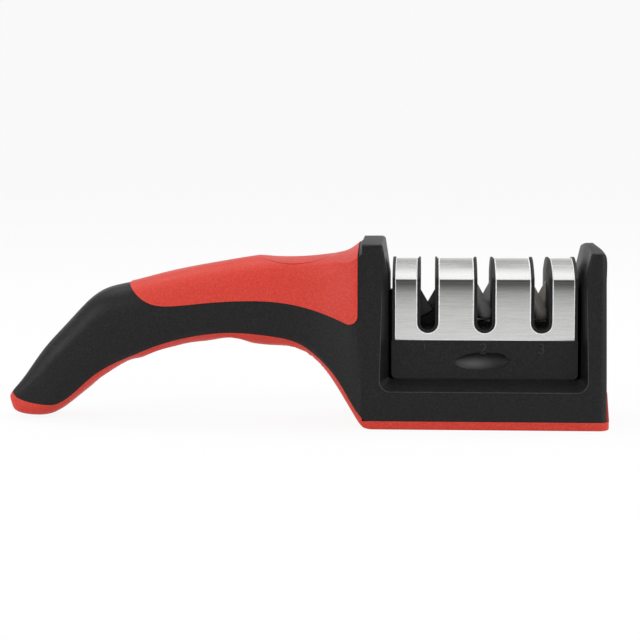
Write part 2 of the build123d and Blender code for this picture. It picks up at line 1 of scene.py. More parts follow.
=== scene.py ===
"""Pull-through knife sharpener: a long two-colour handle, a U-shaped cradle and a lift-out head with three stages.

The object is in metres, stands on z = 0, and its handle points to -X. The sections follow the order in which
the sharpener is put together.
"""
import math

import bmesh
import bpy
import numpy as np
from mathutils import Matrix, Vector
from mathutils.bvhtree import BVHTree


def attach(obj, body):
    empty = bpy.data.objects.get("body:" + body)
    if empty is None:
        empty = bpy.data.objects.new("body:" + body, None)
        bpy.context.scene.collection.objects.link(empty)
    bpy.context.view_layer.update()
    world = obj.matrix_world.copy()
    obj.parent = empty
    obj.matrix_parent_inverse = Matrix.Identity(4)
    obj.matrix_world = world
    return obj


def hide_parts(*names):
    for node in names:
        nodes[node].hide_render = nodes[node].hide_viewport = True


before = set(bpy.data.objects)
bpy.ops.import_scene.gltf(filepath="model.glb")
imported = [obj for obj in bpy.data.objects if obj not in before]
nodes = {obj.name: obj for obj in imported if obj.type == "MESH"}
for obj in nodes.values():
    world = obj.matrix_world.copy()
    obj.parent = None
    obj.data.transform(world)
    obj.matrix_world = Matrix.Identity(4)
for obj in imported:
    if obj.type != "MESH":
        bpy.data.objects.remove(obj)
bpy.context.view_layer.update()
millimetre = 0.001


# Camera: the photograph looks at the front side through a long lens, from a little above and from the right.
# The values were fitted to the slots, the arms and the ends of the sharpener in the photograph.
camera_place = Vector((43.14, -620.0, 106.08)) * millimetre
camera_target = Vector((5.34, 0.0, 34.68)) * millimetre
camera_roll = math.radians(0.12)

camera_lens = bpy.data.cameras.new("camera")
camera_lens.lens = 99.53
camera_lens.sensor_width = 36.0
camera_lens.clip_start = 0.01
camera = bpy.data.objects.new("camera", camera_lens)
bpy.context.scene.collection.objects.link(camera)
aim = (camera_target - camera_place).to_track_quat("-Z", "Y").to_matrix().to_4x4()
camera.matrix_world = Matrix.Translation(camera_place) @ aim @ Matrix.Rotation(-camera_roll, 4, "Z")
bpy.context.scene.camera = camera
bpy.context.scene.view_settings.view_transform = "Standard"


# Table: a round sheet of white card whose rim bends up all round the sharpener.
# It shows as white, in reflections too, and keeps a faint share of the shadow.
card_radius = 4.0
card_hub = 0.01
card_rim = 1.6
card_bend = 0.6
card_bend_steps = 16
card_sides = 96
card_white = (0.86, 0.86, 0.86, 1.0)
card_roughness = 0.8
card_shadow_share = 0.09


def mesh_object(name, points, faces):
    """A mesh object from rows of points and rows of corner numbers."""
    mesh = bpy.data.meshes.new(name)
    mesh.from_pydata(points.tolist(), [], faces.tolist())
    mesh.update()
    made = bpy.data.objects.new(name, mesh)
    bpy.context.scene.collection.objects.link(made)
    return made


def table_card():
    """Profile turned about Z: a flat radius, a quarter circle (R - b + b sin t, b - b cos t), an upright rim."""
    turn = np.linspace(0.0, math.pi / 2, card_bend_steps)
    radius = np.concatenate([[card_hub], card_radius - card_bend + card_bend * np.sin(turn), [card_radius]])
    z = np.concatenate([[0.0], card_bend - card_bend * np.cos(turn), [card_rim]])
    round_turn = np.linspace(0.0, 2 * math.pi, card_sides, endpoint=False)
    points = np.stack(
        [
            radius[:, None] * np.cos(round_turn)[None, :],
            radius[:, None] * np.sin(round_turn)[None, :],
            np.repeat(z[:, None], card_sides, axis=1),
        ],
        axis=-1,
    )
    i, j = np.meshgrid(np.arange(len(radius) - 1), np.arange(card_sides), indexing="ij")
    next_j = (j + 1) % card_sides
    inner, outer = i * card_sides, (i + 1) * card_sides
    faces = np.stack([inner + j, outer + j, outer + next_j, inner + next_j], axis=-1)
    made = mesh_object("table_card", points.reshape(-1, 3), faces.reshape(-1, 4))
    centre = bmesh.new()
    centre.from_mesh(made.data)
    centre.verts.ensure_lookup_table()
    centre.faces.new(centre.verts[:card_sides])
    centre.to_mesh(made.data)
    centre.free()
    return made


def node_material(name):
    """A material with nodes: itself, its tree and its Principled shader."""
    made = bpy.data.materials.new(name)
    made.use_nodes = True
    return made, made.node_tree, made.node_tree.nodes["Principled BSDF"]


def link(tree, start, end):
    """Joins the socket that gives a value to the socket that takes it."""
    tree.links.new(start, end)


def higher(tree, first, second):
    """The higher of two sockets' values."""
    made = tree.nodes.new("ShaderNodeMath")
    made.operation = "MAXIMUM"
    link(tree, first, made.inputs[0])
    link(tree, second, made.inputs[1])
    return made.outputs[0]


card, tree, shader = node_material("white_card")
shader.inputs["Base Color"].default_value = card_white
shader.inputs["Roughness"].default_value = card_roughness
glow = tree.nodes.new("ShaderNodeEmission")
glow.inputs["Color"].default_value = (1.0, 1.0, 1.0, 1.0)
rays = tree.nodes.new("ShaderNodeLightPath").outputs
seen = higher(tree, rays["Is Camera Ray"], rays["Is Glossy Ray"])
white_share = tree.nodes.new("ShaderNodeMath")
white_share.operation = "MULTIPLY"
white_share.inputs[1].default_value = 1.0 - card_shadow_share
link(tree, higher(tree, seen, rays["Is Transmission Ray"]), white_share.inputs[0])
mixed = tree.nodes.new("ShaderNodeMixShader")
link(tree, white_share.outputs[0], mixed.inputs["Fac"])
link(tree, shader.outputs["BSDF"], mixed.inputs[1])
link(tree, glow.outputs["Emission"], mixed.inputs[2])
link(tree, mixed.outputs["Shader"], tree.nodes["Material Output"].inputs["Surface"])
table = table_card()
table.data.materials.append(card)


# Lamps: one large soft box above and a little behind, one strip to the left and one to the right of the front,
# and a dim even room.
room_strength = 0.50
world = bpy.data.worlds.new("room")
world.use_nodes = True
world.node_tree.nodes["Background"].inputs["Color"].default_value = (1.0, 1.0, 1.0, 1.0)
world.node_tree.nodes["Background"].inputs["Strength"].default_value = room_strength
bpy.context.scene.world = world


def soft_box(name, place, target, size, power):
    """A rectangular lamp at a place, turned towards a target."""
    lamp = bpy.data.lights.new(name, "AREA")
    lamp.shape = "RECTANGLE"
    lamp.size, lamp.size_y = size
    lamp.energy = power
    held = bpy.data.objects.new(name, lamp)
    bpy.context.scene.collection.objects.link(held)
    towards = (Vector(target) - Vector(place)).to_track_quat("-Z", "Y").to_matrix().to_4x4()
    held.matrix_world = Matrix.Translation(Vector(place)) @ towards


soft_box("lamp_above", place=(0.0, 0.28, 0.85), target=(0.0, 0.0, 0.03), size=(1.20, 0.45), power=4.4)
soft_box("lamp_left", place=(-0.80, -0.50, 0.45), target=(-0.02, 0.0, 0.03), size=(0.40, 0.70), power=4.5)
soft_box("lamp_right", place=(0.85, -0.40, 0.40), target=(0.06, 0.0, 0.03), size=(0.40, 0.60), power=4.0)


# Body shell and lower cover: injection-moulded ABS with a fine spark-eroded grain, black right through.
# The shell is handle and cradle in one; the cover closes it from below and carries the sole.
# The shell's skin is the same moulding, with its handle flared up a little higher to the left arm.
weld_distance = 0.003 * millimetre
flat_turn = math.radians(0.6)
edge_turn = math.radians(35.0)
edge_segments = 3
shell_edge = 0.28 * millimetre
moulded_black = {
    "dark": (0.0022, 0.0022, 0.0025, 1.0),
    "light": (0.0110, 0.0110, 0.0116, 1.0),
    "roughness": 0.46,
    "grain_scale": 1700.0,
    "grain_depth": 0.22 * millimetre,
    "specular": 0.24,
}
cloud_scale = 60.0
gloss_below = 0.05
gloss_above = 0.07

flare_start = 13.5 * millimetre
flare_end = 19.9 * millimetre
flare_rise = 2.4 * millimetre
flare_power = 1.8
flare_foot = 50.0 * millimetre
flare_full = 58.0 * millimetre
flare_step = 1.3 * millimetre
flare_lead = 3.0 * millimetre
arm_face = 21.01 * millimetre
arm_side_height = 62.6 * millimetre
arm_crown = 1.3 * millimetre
arm_half_depth = 22.0 * millimetre
skin_halvings = 3
skin_sharp_turn = math.radians(32.0)


def soften_edges(piece, width):
    """Gives a piece the small radius that its sharp edges have on the real one."""
    joined = piece.modifiers.new("join_corners", "WELD")
    joined.merge_threshold = weld_distance
    clear = piece.modifiers.new("clear_flats", "DECIMATE")
    clear.decimate_type = "DISSOLVE"
    clear.angle_limit = flat_turn
    rounded = piece.modifiers.new("small_radius", "BEVEL")
    rounded.limit_method = "ANGLE"
    rounded.angle_limit = edge_turn
    rounded.width = width
    rounded.segments = edge_segments
    shaded = piece.modifiers.new("even_shading", "WEIGHTED_NORMAL")
    shaded.keep_sharp = True


def noise(tree, place, scale, detail, roughness=0.5):
    """A noise texture in object space, with its strength output."""
    made = tree.nodes.new("ShaderNodeTexNoise")
    made.inputs["Scale"].default_value = scale
    made.inputs["Detail"].default_value = detail
    made.inputs["Roughness"].default_value = roughness
    link(tree, place, made.inputs["Vector"])
    return made.outputs["Fac"]


def tint_between(tree, strength, first, second, start=0.35, end=0.65):
    """A colour that goes from the first to the second as the strength goes from start to end."""
    made = tree.nodes.new("ShaderNodeValToRGB")
    made.color_ramp.elements[0].position = start
    made.color_ramp.elements[1].position = end
    made.color_ramp.elements[0].color = first
    made.color_ramp.elements[1].color = second
    link(tree, strength, made.inputs["Fac"])
    return made.outputs["Color"]


def gloss_between(tree, strength, low, high, shader):
    """Roughness that goes from low to high with the strength."""
    made = tree.nodes.new("ShaderNodeMapRange")
    made.inputs["From Min"].default_value = 0.3
    made.inputs["From Max"].default_value = 0.7
    made.inputs["To Min"].default_value = low
    made.inputs["To Max"].default_value = high
    link(tree, strength, made.inputs["Value"])
    link(tree, made.outputs["Result"], shader.inputs["Roughness"])


def relief(tree, height, depth, strength, shader):
    """Small dents and bumps of a given depth in metres."""
    made = tree.nodes.new("ShaderNodeBump")
    made.inputs["Strength"].default_value = strength
    made.inputs["Distance"].default_value = depth
    link(tree, height, made.inputs["Height"])
    link(tree, made.outputs["Normal"], shader.inputs["Normal"])


def grained_plastic(name, dark, light, roughness, grain_scale, grain_depth, specular):
    """Moulded plastic: a fine grain in colour and relief, and slow clouds in its gloss."""
    made, tree, shader = node_material(name)
    place = tree.nodes.new("ShaderNodeTexCoord").outputs["Object"]
    grain = noise(tree, place, scale=grain_scale, detail=3.0, roughness=0.6)
    body = tint_between(tree, grain, dark, light, start=0.42, end=0.70)
    link(tree, body, shader.inputs["Base Color"])
    clouds = noise(tree, place, scale=cloud_scale, detail=4.0)
    gloss_between(tree, clouds, roughness - gloss_below, roughness + gloss_above, shader)
    relief(tree, grain, grain_depth, 0.6, shader)
    shader.inputs["Specular IOR Level"].default_value = specular
    return made


def finish(piece, material):
    """Puts one finish on a piece, whatever slots it came with."""
    piece.data.materials.clear()
    piece.data.materials.append(material)


def merged_copy(name, step, left, right):
    """A node's mesh, merged, its edges between left and right halved until they are about a step long in X."""
    copied = nodes[name].data.copy()
    built = bmesh.new()
    built.from_mesh(copied)
    bmesh.ops.remove_doubles(built, verts=built.verts, dist=weld_distance)
    for _ in range(skin_halvings):
        long_edges = [
            edge
            for edge in built.edges
            if abs(edge.verts[0].co.x - edge.verts[1].co.x) > step
            and min(corner.co.x for corner in edge.verts) > left
            and max(corner.co.x for corner in edge.verts) < right
        ]
        bmesh.ops.subdivide_edges(built, edges=long_edges, cuts=1)
    bmesh.ops.triangulate(built, faces=built.faces)
    built.to_mesh(copied)
    built.free()
    if "custom_normal" in copied.attributes:
        copied.attributes.remove(copied.attributes["custom_normal"])
    return copied


def points_of(mesh):
    """A mesh's points as rows."""
    points = np.empty(len(mesh.vertices) * 3)
    mesh.vertices.foreach_get("co", points)
    return points.reshape(-1, 3)


def skin_object(name, mesh, points):
    """An object with a merged mesh whose points were moved."""
    mesh.vertices.foreach_set("co", points.ravel())
    mesh.set_sharp_from_angle(angle=skin_sharp_turn)
    mesh.polygons.foreach_set("use_smooth", [True] * len(mesh.polygons))
    mesh.update()
    made = bpy.data.objects.new(name, mesh)
    bpy.context.scene.collection.objects.link(made)
    return made


def flared_skin(node, name):
    """Lifts points by rise ((x - start) / (end - start))^power, up to the arm's crowned top.

    The lift fades out down the sides by the smooth step h^2 (3 - 2 h) between its foot and its full height.
    """
    mesh = merged_copy(node, flare_step, flare_start - flare_lead, arm_face)
    points = points_of(mesh)
    x, y, z = points.T
    along = np.clip((x - flare_start) / (flare_end - flare_start), 0.0, None)
    high = np.clip((z - flare_foot) / (flare_full - flare_foot), 0.0, 1.0)
    arm_top = arm_side_height + arm_crown * (1.0 - (y / arm_half_depth) ** 2)
    lift = flare_rise * along**flare_power * high**2 * (3 - 2 * high)
    points[:, 2] = np.where((x < arm_face) & (z < arm_top), np.minimum(z + lift, arm_top), z)
    return skin_object(name, mesh, points)


black_abs = grained_plastic("black_abs", **moulded_black)
finish(nodes["lower_cover"], black_abs)
soften_edges(nodes["lower_cover"], shell_edge)

shell_skin = flared_skin("body_shell", "shell_skin")
finish(shell_skin, black_abs)
soften_edges(shell_skin, shell_edge)
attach(shell_skin, "holder")
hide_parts("body_shell")


# Mouth lines: the outer edge of the cradle's bevelled mouth, front and rear, part of the black moulding.
# It is drawn as a fine pale line of painted highlight, where the edge catches light.
mouth_inner = np.array([29.95, 95.45]) * millimetre
mouth_outer = np.array([26.45, 97.95]) * millimetre
mouth_floor = np.array([16.8, 12.5]) * millimetre
mouth_floor_share = 0.9
mouth_start = 19.3 * millimetre
mouth_end = 25.0 * millimetre
mouth_corner = 3.8 * millimetre
mouth_corner_steps = 14
mouth_top = 48.5 * millimetre
mouth_wall_steps = 23
wall_draft = 3.0 / 64.2
line_radius = 0.13 * millimetre
line_sides = 8
line_taper = 0.25
line_thinnest = 0.15


def bead_along(points, out, radius, sides, closed):
    """A round bead: each ring is point + radius (out cos a + side sin a), with out squared up to the line.

    An open line's two ends are closed with flat caps.
    """
    if closed:
        along = np.roll(points, -1, axis=0) - np.roll(points, 1, axis=0)
    else:
        along = np.gradient(points, axis=0)
    along /= np.linalg.norm(along, axis=1, keepdims=True)
    out = out - (out * along).sum(axis=1, keepdims=True) * along
    out /= np.linalg.norm(out, axis=1, keepdims=True)
    side = np.cross(along, out)
    turn = np.linspace(0.0, 2 * math.pi, sides, endpoint=False)
    rings = points[:, None, :] + np.asarray(radius).reshape(-1, 1, 1) * (
        out[:, None, :] * np.cos(turn)[None, :, None] + side[:, None, :] * np.sin(turn)[None, :, None]
    )
    rows = np.arange(len(points) if closed else len(points) - 1)
    i, j = np.meshgrid(rows, np.arange(sides), indexing="ij")
    here, ahead = i * sides, (i + 1) % len(points) * sides
    next_j = (j + 1) % sides
    faces = np.stack([here + j, here + next_j, ahead + next_j, ahead + j], axis=-1).reshape(-1, 4)
    if not closed:
        k = np.arange(sides // 2 - 1)
        cap = np.stack([k, sides - 1 - k, sides - 2 - k, k + 1], axis=1)
        faces = np.concatenate([faces, cap, cap[:, ::-1] + (len(points) - 1) * sides])
    return rings.reshape(-1, 3), faces


def tapered(radius, count, power, thinnest):
    """Radii along a line: radius times sin(pi share)^power, and never less than the thinnest share."""
    return radius * np.maximum(np.sin(np.linspace(0.0, math.pi, count)) ** power, thinnest)


def outwards(side, count):
    """The same outward direction, along Y to one side, for every point of a line."""
    return np.tile([0.0, float(side), 0.0], (count, 1))


def joined_object(name, parts):
    """One smooth mesh object from pairs of points and faces."""
    starts = np.cumsum([0] + [len(points) for points, _ in parts[:-1]])
    made = mesh_object(
        name,
        np.concatenate([points for points, _ in parts]),
        np.concatenate([faces + start for (_, faces), start in zip(parts, starts)]),
    )
    made.data.polygons.foreach_set("use_smooth", [True] * len(made.data.polygons))
    return made


def mouth_line(side):
    """The U where the bevel, a straight blend from the inner to the outer mouth, meets y = end - draft z."""
    turn = np.linspace(0.0, math.pi / 2, mouth_corner_steps)
    floor = mouth_floor[0] + (mouth_floor[1] - mouth_floor[0]) * mouth_floor_share
    low = floor + mouth_corner
    upright = np.linspace(mouth_top, low, mouth_wall_steps + 1)[:-1]
    z = np.concatenate([upright, low - mouth_corner * np.sin(turn)])
    inward = np.concatenate([np.zeros(mouth_wall_steps), mouth_corner * (1 - np.cos(turn))])
    wall = mouth_end - wall_draft * z
    share = (wall - mouth_start) / (mouth_end - mouth_start)
    left = mouth_inner[0] + (mouth_outer[0] - mouth_inner[0]) * share + inward
    right = mouth_inner[1] + (mouth_outer[1] - mouth_inner[1]) * share - inward
    x = np.concatenate([left, right[::-1]])
    y = side * np.concatenate([wall, wall[::-1]])
    points = np.stack([x, y, np.concatenate([z, z[::-1]])], axis=1)
    radius = tapered(line_radius, len(points), line_taper, line_thinnest)
    return bead_along(points, outwards(side, len(points)), radius, line_sides, False)


# Painted highlight: a paler, glossier copy of the black ABS that marks the mouth's edge.
painted_highlight_abs = grained_plastic(
    "painted_highlight_abs",
    dark=(0.026, 0.026, 0.027, 1.0),
    light=(0.060, 0.060, 0.062, 1.0),
    roughness=0.38,
    grain_scale=2600.0,
    grain_depth=0.04 * millimetre,
    specular=0.4,
)
mouth_lines = joined_object("mouth_lines", [mouth_line(-1), mouth_line(1)])
finish(mouth_lines, painted_highlight_abs)
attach(mouth_lines, "holder")


# Grip inlay and sole: red soft-touch rubber, moulded over the shell's top and under its whole length.
# The inlay stands a little proud of the shell and follows its flare; the sole is what rests on the table.
# The sole's skin is the same moulding, with its finger grooves in full depth and its toe rounded.
inlay_edge = 0.30 * millimetre
groove_middles = np.array([-63.0, -24.5, 0.5]) * millimetre
groove_widths = np.array([4.5, 6.5, 7.0]) * millimetre
groove_depths = np.array([0.7, 1.2, 1.5]) * millimetre
sole_step = 1.3 * millimetre
sole_left = -200.0 * millimetre
sole_right = 30.0 * millimetre
sole_bin = 1.0 * millimetre
sole_reach = 1.7 * millimetre
toe_corner = np.array([21.0, 0.0]) * millimetre
toe_slope = math.radians(56.0)
toe_length = 3.6 * millimetre
toe_thickness = 1.5 * millimetre
toe_cuts = np.linspace(0.15, 1.15, 6) * toe_length
toe_reach = 10.0 * millimetre
toe_height = 20.0 * millimetre


def groove_lift(x):
    """Sum of bells: depth times exp(-((x - middle) / width)^2)."""
    return (groove_depths * np.exp(-(((x[:, None] - groove_middles) / groove_widths) ** 2))).sum(axis=1)


def cut_toe(mesh):
    """Cuts the faces near the toe across, at even steps along the floor and up the slope, so that they bend."""
    built = bmesh.new()
    built.from_mesh(mesh)
    level = Vector((1.0, 0.0, 0.0))
    uphill = Vector((-math.cos(toe_slope), 0.0, math.sin(toe_slope)))
    corner = Vector((toe_corner[0], 0.0, toe_corner[1]))
    for cut in toe_cuts.tolist():
        for across in (level, uphill):
            near = [
                face
                for face in built.faces
                if min(point.co.x for point in face.verts) < corner.x + cut + toe_reach
                and min(point.co.z for point in face.verts) < toe_height
            ]
            edges = dict.fromkeys(edge for face in near for edge in face.edges)
            points = dict.fromkeys(point for face in near for point in face.verts)
            bmesh.ops.bisect_plane(
                built, geom=[*near, *edges, *points], plane_co=corner + across * cut, plane_no=across
            )
    bmesh.ops.triangulate(built, faces=built.faces)
    built.to_mesh(mesh)
    built.free()


def round_toe(points):
    """Moves the skin near the toe's sharp edge onto (1-s)^2 A + 2 s (1-s) C + s^2 B, less so the deeper it is."""
    level = np.array([1.0, 0.0])
    uphill = np.array([-math.cos(toe_slope), math.sin(toe_slope)])
    normal = np.array([math.sin(toe_slope), math.cos(toe_slope)])
    local = points[:, [0, 2]] - toe_corner
    on_slope = local[:, 0] < local[:, 1] * math.tan(toe_slope / 2)
    run = np.where(on_slope, local @ uphill, local[:, 0])
    deep = np.where(on_slope, local @ normal, local[:, 1])
    share = np.clip(run / toe_length, 0.0, 1.0)
    s = np.where(on_slope, (1.0 + share) / 2, (1.0 - share) / 2)[:, None]
    curve = (1 - s) ** 2 * toe_length * level + s**2 * toe_length * uphill
    leg = (share * toe_length)[:, None] * np.where(on_slope[:, None], uphill, level)
    fade = np.clip(1.0 - np.abs(deep) / toe_thickness, 0.0, 1.0) * (np.abs(run) < toe_length)
    points[:, [0, 2]] += (curve - leg) * fade[:, None]


def grooved_sole():
    """The sole with its underside lifted by the grooves' bells, less so the nearer a point is to the shell."""
    mesh = merged_copy("sole", sole_step, sole_left, sole_right)
    cut_toe(mesh)
    points = points_of(mesh)
    bins = np.round(points[:, 0] / sole_bin).astype(int)
    bins -= bins.min()
    lowest = np.full(bins.max() + 1, np.inf)
    np.minimum.at(lowest, bins, points[:, 2])
    near = np.clip(1.0 - (points[:, 2] - lowest[bins]) / sole_reach, 0.0, 1.0)
    points[:, 2] += groove_lift(points[:, 0]) * near
    round_toe(points)
    return skin_object("sole_skin", mesh, points)


red_soft = grained_plastic(
    "red_soft",
    dark=(0.56, 0.036, 0.022, 1.0),
    light=(0.70, 0.062, 0.040, 1.0),
    roughness=0.48,
    grain_scale=1900.0,
    grain_depth=0.10 * millimetre,
    specular=0.30,
)
inlay_skin = flared_skin("grip_inlay", "inlay_skin")
finish(inlay_skin, red_soft)
soften_edges(inlay_skin, inlay_edge)
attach(inlay_skin, "holder")
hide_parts("grip_inlay")

sole_skin = grooved_sole()
finish(sole_skin, red_soft)
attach(sole_skin, "holder")
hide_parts("sole")


# Thumb rest edges: the pressed saddle in the inlay ends in a fine dark line on each side of the handle, painted
# shade along its crease.
# The line is part of the red moulding, and follows its surface.
rest_line = np.array(
    [[-16.0, 57.2], [-10.0, 56.2], [-4.0, 55.6], [2.5, 56.1], [9.0, 57.9], [14.0, 59.7], [18.2, 61.6]]
) * millimetre
rest_line_degree = 5
rest_samples = 70
rest_radius = 0.12 * millimetre
rest_taper = 0.5
rest_thinnest = 0.1
rest_start = 50.0 * millimetre


def rest_edge(side):
    """A polynomial through the line's points, laid on the inlay along Y, as a bead half sunk in the surface."""
    share = np.linspace(0.0, 1.0, len(rest_line))
    fit = [np.polyfit(share, rest_line[:, k], rest_line_degree) for k in (0, 1)]
    places = np.stack([np.polyval(line, np.linspace(0.0, 1.0, rest_samples)) for line in fit], axis=1)
    points, out = [], []
    for x, z in places:
        hit, normal, _, _ = inlay_surface.ray_cast(Vector((x, side * rest_start, z)), Vector((0, -side, 0)))
        if hit is not None:
            points.append(hit)
            out.append(normal)
    radius = tapered(rest_radius, len(points), rest_taper, rest_thinnest)
    return bead_along(np.array(points), np.array(out), radius, line_sides, False)


inlay_mesh = inlay_skin.data
inlay_surface = BVHTree.FromPolygons(
    [corner.co for corner in inlay_mesh.vertices], [tuple(face.vertices) for face in inlay_mesh.polygons]
)
# Painted shade: a darker copy of the red that marks the crease at the saddle's edge.
painted_shade_red = grained_plastic(
    "painted_shade_red",
    dark=(0.30, 0.016, 0.012, 1.0),
    light=(0.38, 0.024, 0.018, 1.0),
    roughness=0.55,
    grain_scale=1900.0,
    grain_depth=0.04 * millimetre,
    specular=0.2,
)
rest_edges = joined_object("thumb_rest_edges", [rest_edge(-1), rest_edge(1)])
finish(rest_edges, painted_shade_red)
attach(rest_edges, "holder")


# Screws of the lower cover and of the head: plated steel with turned heads and pressed cross recesses.
# They cut their own threads in the bosses.
screw_edge = 0.12 * millimetre


def brushed_metal(name, dark, light, roughness, stretch, scale, depth, anisotropy):
    """Brushed or ground metal: noise drawn out along one axis gives the scratches' colour, gloss and depth."""
    made, tree, shader = node_material(name)
    place = tree.nodes.new("ShaderNodeTexCoord").outputs["Object"]
    drawn = tree.nodes.new("ShaderNodeMapping")
    drawn.inputs["Scale"].default_value = stretch
    link(tree, place, drawn.inputs["Vector"])
    scratches = noise(tree, drawn.outputs["Vector"], scale=scale, detail=6.0, roughness=0.65)
    link(tree, tint_between(tree, scratches, dark, light), shader.inputs["Base Color"])
    gloss_between(tree, scratches, roughness - gloss_below, roughness + gloss_above, shader)
    relief(tree, scratches, depth, 0.5, shader)
    shader.inputs["Metallic"].default_value = 1.0
    shader.inputs["Anisotropic"].default_value = anisotropy
    return made


screw_steel = brushed_metal(
    "screw_steel",
    dark=(0.42, 0.42, 0.43, 1.0),
    light=(0.58, 0.58, 0.59, 1.0),
    roughness=0.34,
    stretch=(1.0, 1.0, 1.0),
    scale=900.0,
    depth=0.03 * millimetre,
    anisotropy=0.0,
)
for name in ("cover_screws", "head_screws"):
    finish(nodes[name], screw_steel)
    soften_edges(nodes[name], screw_edge)


# Head frame with its base plate: the same black ABS as the shell, moulded with a finger recess front and back.
# The plate is screwed on from below and holds the three inserts in.
for name in ("head_frame", "head_base_plate"):
    finish(nodes[name], black_abs)


# Finger recesses: on the front and the rear of the head frame, a lens with a sharp left and a blunt right end.
# This finished surface lines the frame's own recess, and its flat rim lies on the frame's face.
# The lower half of each bowl is painted paler, painted light where it faces up to the lamp above.
head_face = 19.0 * millimetre
recess_middle = np.array([62.7, 23.0]) * millimetre
recess_patch = np.array([11.4, 3.8]) * millimetre
recess_half = np.array([10.8, 3.35]) * millimetre
recess_right = 9.2 * millimetre
recess_power = 2.1
recess_blunt = 0.6
recess_least = 0.001
recess_depth = 1.9 * millimetre
recess_rim = 0.04 * millimetre
recess_grid = (150, 60)
lit_middle = np.array([-0.30, -0.30])
lit_width = np.array([0.50, 0.45])
lit_limit = 0.92
painted_light_grey = (0.075, 0.075, 0.075, 1.0)


def recess_shares():
    """Shares i along and j across the patch, both from -1 to 1, as two grids."""
    return np.meshgrid(*(np.linspace(-1.0, 1.0, count) for count in recess_grid), indexing="ij")


def grid_faces(rows, columns):
    """Four-cornered faces of a grid whose point (i, j) has the number i * columns + j."""
    i, j = np.meshgrid(np.arange(rows - 1), np.arange(columns - 1), indexing="ij")
    first = (i * columns + j).ravel()
    return np.stack([first + columns, first + columns + 1, first + 1, first], axis=1)


def recess_lining(side):
    """Height map over a flat patch: with s and t the shares of the lens, y = depth w (1 - (t / w)^2).

    The half width w is 1 - |s|^power, raised to the blunt share on the right.
    """
    i, j = recess_shares()
    s = i * recess_patch[0] / np.where(i < 0.0, recess_half[0], recess_right)
    t = j * recess_patch[1] / recess_half[1]
    width = np.clip(1.0 - np.abs(s) ** recess_power, 0.0, 1.0) ** np.where(i < 0.0, 1.0, recess_blunt)
    sunk = np.clip(1.0 - (t / np.maximum(width, recess_least)) ** 2, 0.0, 1.0) * width
    x = recess_middle[0] - side * recess_patch[0] * i
    z = recess_middle[1] + recess_patch[1] * j
    y = side * (head_face + recess_rim - recess_depth * sunk)
    return np.stack([x, y, z], axis=-1).reshape(-1, 3), grid_faces(*recess_grid)


def recess_painted_light():
    """How far the bowl is painted pale, as painted light: exp(-((i - middle) / width)^2 - the same of j), inside
    the lens only.
    """
    i, j = recess_shares()
    bell = np.exp(-(((i - lit_middle[0]) / lit_width[0]) ** 2) - ((j - lit_middle[1]) / lit_width[1]) ** 2)
    s, t = i * recess_patch[0] / recess_half[0], j * recess_patch[1] / recess_half[1]
    return (bell * (s**2 + t**2 < lit_limit)).ravel()


linings = joined_object("finger_recesses", [recess_lining(side) for side in (-1, 1)])
# Painted light: a share per point that mixes the lining's colour towards a paler grey in the lower half of each
# bowl.
painted_light = linings.data.attributes.new("painted_light", "FLOAT", "POINT")
painted_light.data.foreach_set("value", np.tile(recess_painted_light(), 2).astype(np.float32))
recess_abs = grained_plastic("recess_abs", **moulded_black)
tree = recess_abs.node_tree
shader = tree.nodes["Principled BSDF"]
painted_light_share = tree.nodes.new("ShaderNodeAttribute")
painted_light_share.attribute_name = "painted_light"
painted_light_mix = tree.nodes.new("ShaderNodeMix")
painted_light_mix.data_type = "RGBA"
painted_light_mix.inputs["B"].default_value = painted_light_grey
link(tree, painted_light_share.outputs["Fac"], painted_light_mix.inputs["Factor"])
link(tree, shader.inputs["Base Color"].links[0].from_socket, painted_light_mix.inputs["A"])
link(tree, painted_light_mix.outputs["Result"], shader.inputs["Base Color"])
finish(linings, recess_abs)
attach(linings, "head")


# Numerals under the slots: 1, 2 and 3 in fine raised strokes on the front and on the rear of the head frame.
# They are moulded with the frame, in the same black, and their strokes are painted paler, a painted highlight
# where they catch light.
numeral_height = 3.2 * millimetre
numeral_stroke = 0.24 * millimetre
numeral_middle = 27.3 * millimetre
numeral_places = np.array([42.10, 62.20, 82.00]) * millimetre
stroke_sides = 10

one_line = [[-0.16, 0.30], [0.06, 0.50], [0.06, -0.50]]
two_line = [
    [-0.27, 0.26], [-0.21, 0.42], [-0.05, 0.50], [0.13, 0.47], [0.26, 0.33],
    [0.24, 0.14], [0.06, -0.12], [-0.27, -0.50], [0.30, -0.50],
]
three_line = [
    [-0.26, 0.38], [-0.10, 0.50], [0.13, 0.47], [0.25, 0.30], [0.17, 0.10], [-0.04, 0.03],
    [0.20, -0.06], [0.29, -0.26], [0.18, -0.44], [-0.06, -0.51], [-0.28, -0.38],
]


def stroke(line, middle_x, side):
    """A bead along a numeral's line, half sunk in the head's face and mirrored on the rear to read from there."""
    flat = np.array(line) * numeral_height
    y = np.full(len(flat), side * head_face)
    centres = np.stack([middle_x - side * flat[:, 0], y, numeral_middle + flat[:, 1]], axis=1)
    return bead_along(centres, outwards(side, len(flat)), numeral_stroke, stroke_sides, False)


# Painted highlight: a paler copy of the black ABS for the raised strokes.
numeral_highlight_abs = grained_plastic(
    "numeral_highlight_abs",
    dark=(0.014, 0.014, 0.015, 1.0),
    light=(0.034, 0.034, 0.035, 1.0),
    roughness=0.40,
    grain_scale=2600.0,
    grain_depth=0.04 * millimetre,
    specular=0.3,
)
numerals = joined_object(
    "slot_numerals",
    [
        stroke(line, middle_x, side)
        for line, middle_x in zip((one_line, two_line, three_line), numeral_places)
        for side in (-1, 1)
    ],
)
finish(numerals, numeral_highlight_abs)
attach(numerals, "head")


